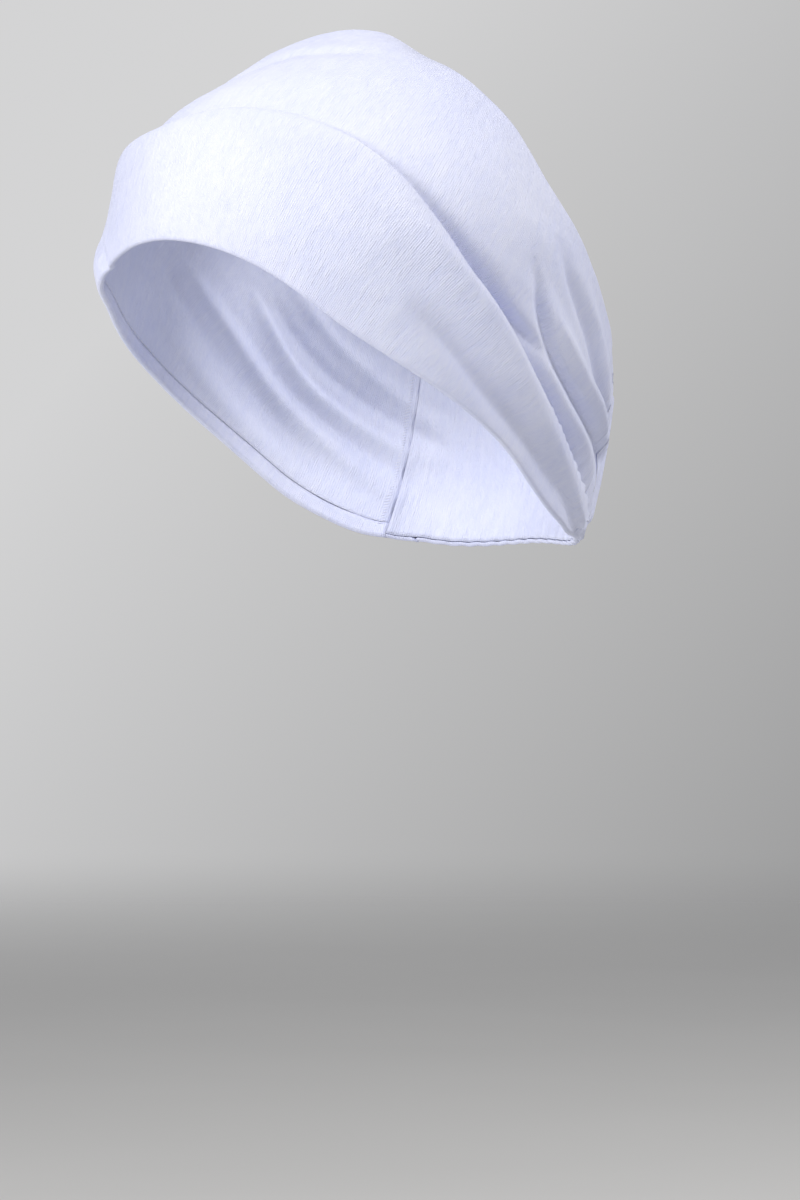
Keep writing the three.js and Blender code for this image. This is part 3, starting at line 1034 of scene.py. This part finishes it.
class BuildStitches(bpy.types.Operator):
    """Sew the hems, the lap, the rear seams, the casing and the elastic's ends."""

    bl_idname = "headband.stitches"
    bl_label = "Stitches"

    def execute(self, context):
        shop = Workshop(context)
        cloth = shop.cloth
        skin, face = shop.inner - 0.45 * MM, shop.outer + 0.5 * MM
        turned = cloth.hem_radius + cloth.turn
        hems = [
            ("lower_hem_thread", Row(lower_hem, turned + 0.4 * MM, skin), shop.lining_relief),
            ("upper_hem_thread", Row(upper_hem, -1.6 * MM, skin), shop.lining_relief),
            ("ridge_seam_thread", Row(ridge_seam, -cloth.lap + 1.2 * MM, face), shop.panel_relief),
        ]
        for name, row, relief in hems:
            shop.sew(name, shop.path(row, 500, relief, inset=1 * MM), HEM_STITCH)

        casing = shop.outer_casing_relief()
        channels = [
            ("casing_bottom_thread", Row(lower_hem, cloth.casing_stitch, face)),
            ("casing_top_thread", Row(upper_hem, -cloth.casing_stitch, face)),
        ]
        for name, row in channels:
            path = shop.path(row, 500, casing, rear=True, inset=2 * MM)
            shop.sew(name, path, CASING_STITCH, rear=True)

        for label, side in (("left", 1), ("right", -1)):
            x = cloth.seam_x + 1.6 * MM
            path = shop.upright_path(x, side, 0.06, 0.94, skin, 90, shop.lining_relief)
            facing = path.mean(axis=0) * (1, 1, 0)
            shop.sew(label + "_join_thread", path, JOIN_STITCH, facing)
            x = cloth.seam_x - 4.5 * MM
            path = shop.upright_path(x, side, 0.26, 0.74, shop.outer + 0.55 * MM, 90, casing)
            shop.sew(label + "_elastic_tack", path, TACK_STITCH, facing, rear=True)
        return {"FINISHED"}


LIGHT_TONE = (1.0, 0.985, 0.95)
FLOOR_RADIUS = 4.5
FLOOR_SIDES = 96


class SetStage(bpy.types.Operator):
    """Set the floor, the lights, the background and the camera."""

    bl_idname = "headband.stage"
    bl_label = "Stage"

    def area_light(self, name, azimuth, elevation, distance, size, power):
        turn, rise = math.radians(azimuth), math.radians(elevation)
        back = Vector((math.sin(turn) * math.cos(rise), -math.cos(turn) * math.cos(rise), math.sin(rise)))
        lamp = bpy.data.lights.new(name, "AREA")
        lamp.shape, lamp.size, lamp.energy, lamp.color = "DISK", size, power, LIGHT_TONE
        light = bpy.data.objects.new(name, lamp)
        light.location = back * distance
        light.rotation_euler = (-back).to_track_quat("-Z", "Y").to_euler()
        bpy.context.scene.collection.objects.link(light)

    def floor(self, drop, colour_):
        mesh = bpy.data.meshes.new("floor")
        turns = np.linspace(0, 2 * math.pi, FLOOR_SIDES, endpoint=False)
        ring = [(FLOOR_RADIUS * math.cos(a), FLOOR_RADIUS * math.sin(a), -drop) for a in turns]
        mesh.from_pydata(ring, [], [tuple(range(len(ring)))])
        mesh.materials.append(backdrop_material("Studio card", colour_))
        floor = bpy.data.objects.new("floor", mesh)
        bpy.context.scene.collection.objects.link(floor)

    def surroundings(self, strength, colour_, azimuth):
        """Plain light from all round, dimmer overhead and on the camera's right."""
        world = bpy.data.worlds.new("Studio")
        bpy.context.scene.world = world
        world.use_nodes = True
        nodes = Nodes(world.node_tree)
        direction = nodes.node("ShaderNodeTexCoord").outputs["Generated"]
        dimmer_way = (math.cos(azimuth), math.sin(azimuth), -0.8)
        facing = {0: direction, 1: dimmer_way}
        across = nodes.node("ShaderNodeVectorMath", {"operation": "DOT_PRODUCT"}, facing)
        height = nodes.node("ShaderNodeSeparateXYZ", sockets={0: direction})
        ends = {"Value": across.outputs["Value"], "From Min": -0.10, "From Max": 0.17}
        tone = nodes.node("ShaderNodeMapRange", sockets={**ends, "To Min": 1.06, "To Max": 0.45})
        ends = {"Value": height.outputs["Z"], "From Min": 0.30, "From Max": 0.90}
        above = nodes.node("ShaderNodeMapRange", sockets={**ends, "To Min": 1.0, "To Max": 0.40})
        tones = {0: tone.outputs["Result"], 1: above.outputs["Result"]}
        both = nodes.node("ShaderNodeMath", {"operation": "MULTIPLY"}, tones)
        scaled = {0: colour_, "Scale": both.outputs["Value"]}
        paint = nodes.node("ShaderNodeVectorMath", {"operation": "SCALE"}, scaled)
        background = world.node_tree.nodes["Background"]
        nodes.feed(background.inputs["Color"], paint.outputs["Vector"])
        nodes.feed(background.inputs["Strength"], strength)

    def camera(self, stage):
        turn = stage.azimuth
        back = Vector((math.sin(turn), -math.cos(turn), 0))
        side = Vector((math.cos(turn), math.sin(turn), 0))
        data = bpy.data.cameras.new("Camera")
        data.lens, data.clip_start, data.clip_end = stage.lens, 0.05, 50
        camera = bpy.data.objects.new("Camera", data)
        drop = Vector((0, 0, -stage.camera_drop))
        camera.location = back * stage.distance + side * stage.camera_side + drop
        camera.rotation_euler = (-back).to_track_quat("-Z", "Y").to_euler()
        bpy.context.scene.collection.objects.link(camera)
        bpy.context.scene.camera = camera

    def execute(self, context):
        shop = Workshop(context)
        stage, backdrop = shop.stage, shop.colours.backdrop
        self.floor(stage.floor_drop, backdrop)
        self.surroundings(stage.ambient, backdrop, stage.azimuth)
        self.area_light("key_light", azimuth=-2, elevation=15, distance=1.7, size=0.55, power=stage.key)
        self.area_light("top_light", azimuth=98, elevation=53, distance=1.7, size=0.5, power=stage.top)
        self.area_light("back_light", azimuth=158, elevation=45, distance=2.0, size=0.7, power=stage.fill)
        self.camera(stage)
        context.scene.view_settings.view_transform = "Standard"
        return {"FINISHED"}


BUILD_ORDER = (
    BuildLining, BuildBrowPanel, BuildCrownPanel, BuildElastic, BuildCasing, BuildStitches, SetStage)
GROUPS = {
    "headband_form": HeadFormSizes,
    "headband_cloth": ClothSizes,
    "headband_drape": DrapeSizes,
    "headband_colours": ColourChoices,
    "headband_stage": StageSizes,
}


class HeadbandPanel(bpy.types.Panel):
    """Lists the headband's sizes and the steps that build it."""

    bl_label = "Jersey headband"
    bl_idname = "VIEW3D_PT_headband"
    bl_space_type = "VIEW_3D"
    bl_region_type = "UI"
    bl_category = "Headband"

    def draw(self, context):
        for step in BUILD_ORDER:
            self.layout.operator(step.bl_idname)
        for name, group in GROUPS.items():
            box = self.layout.box()
            for label in group.__annotations__:
                box.prop(getattr(context.scene, name), label)


def register():
    for group in (*GROUPS.values(), *BUILD_ORDER, HeadbandPanel):
        bpy.utils.register_class(group)
    for name, group in GROUPS.items():
        setattr(bpy.types.Scene, name, bpy.props.PointerProperty(type=group))


def unregister():
    for name in GROUPS:
        delattr(bpy.types.Scene, name)
    for group in (HeadbandPanel, *reversed(BUILD_ORDER), *reversed(GROUPS.values())):
        bpy.utils.unregister_class(group)


def main():
    register()
    for step in BUILD_ORDER:
        group, name = step.bl_idname.split(".")
        getattr(getattr(bpy.ops, group), name)()


if __name__ == "__main__":
    main()
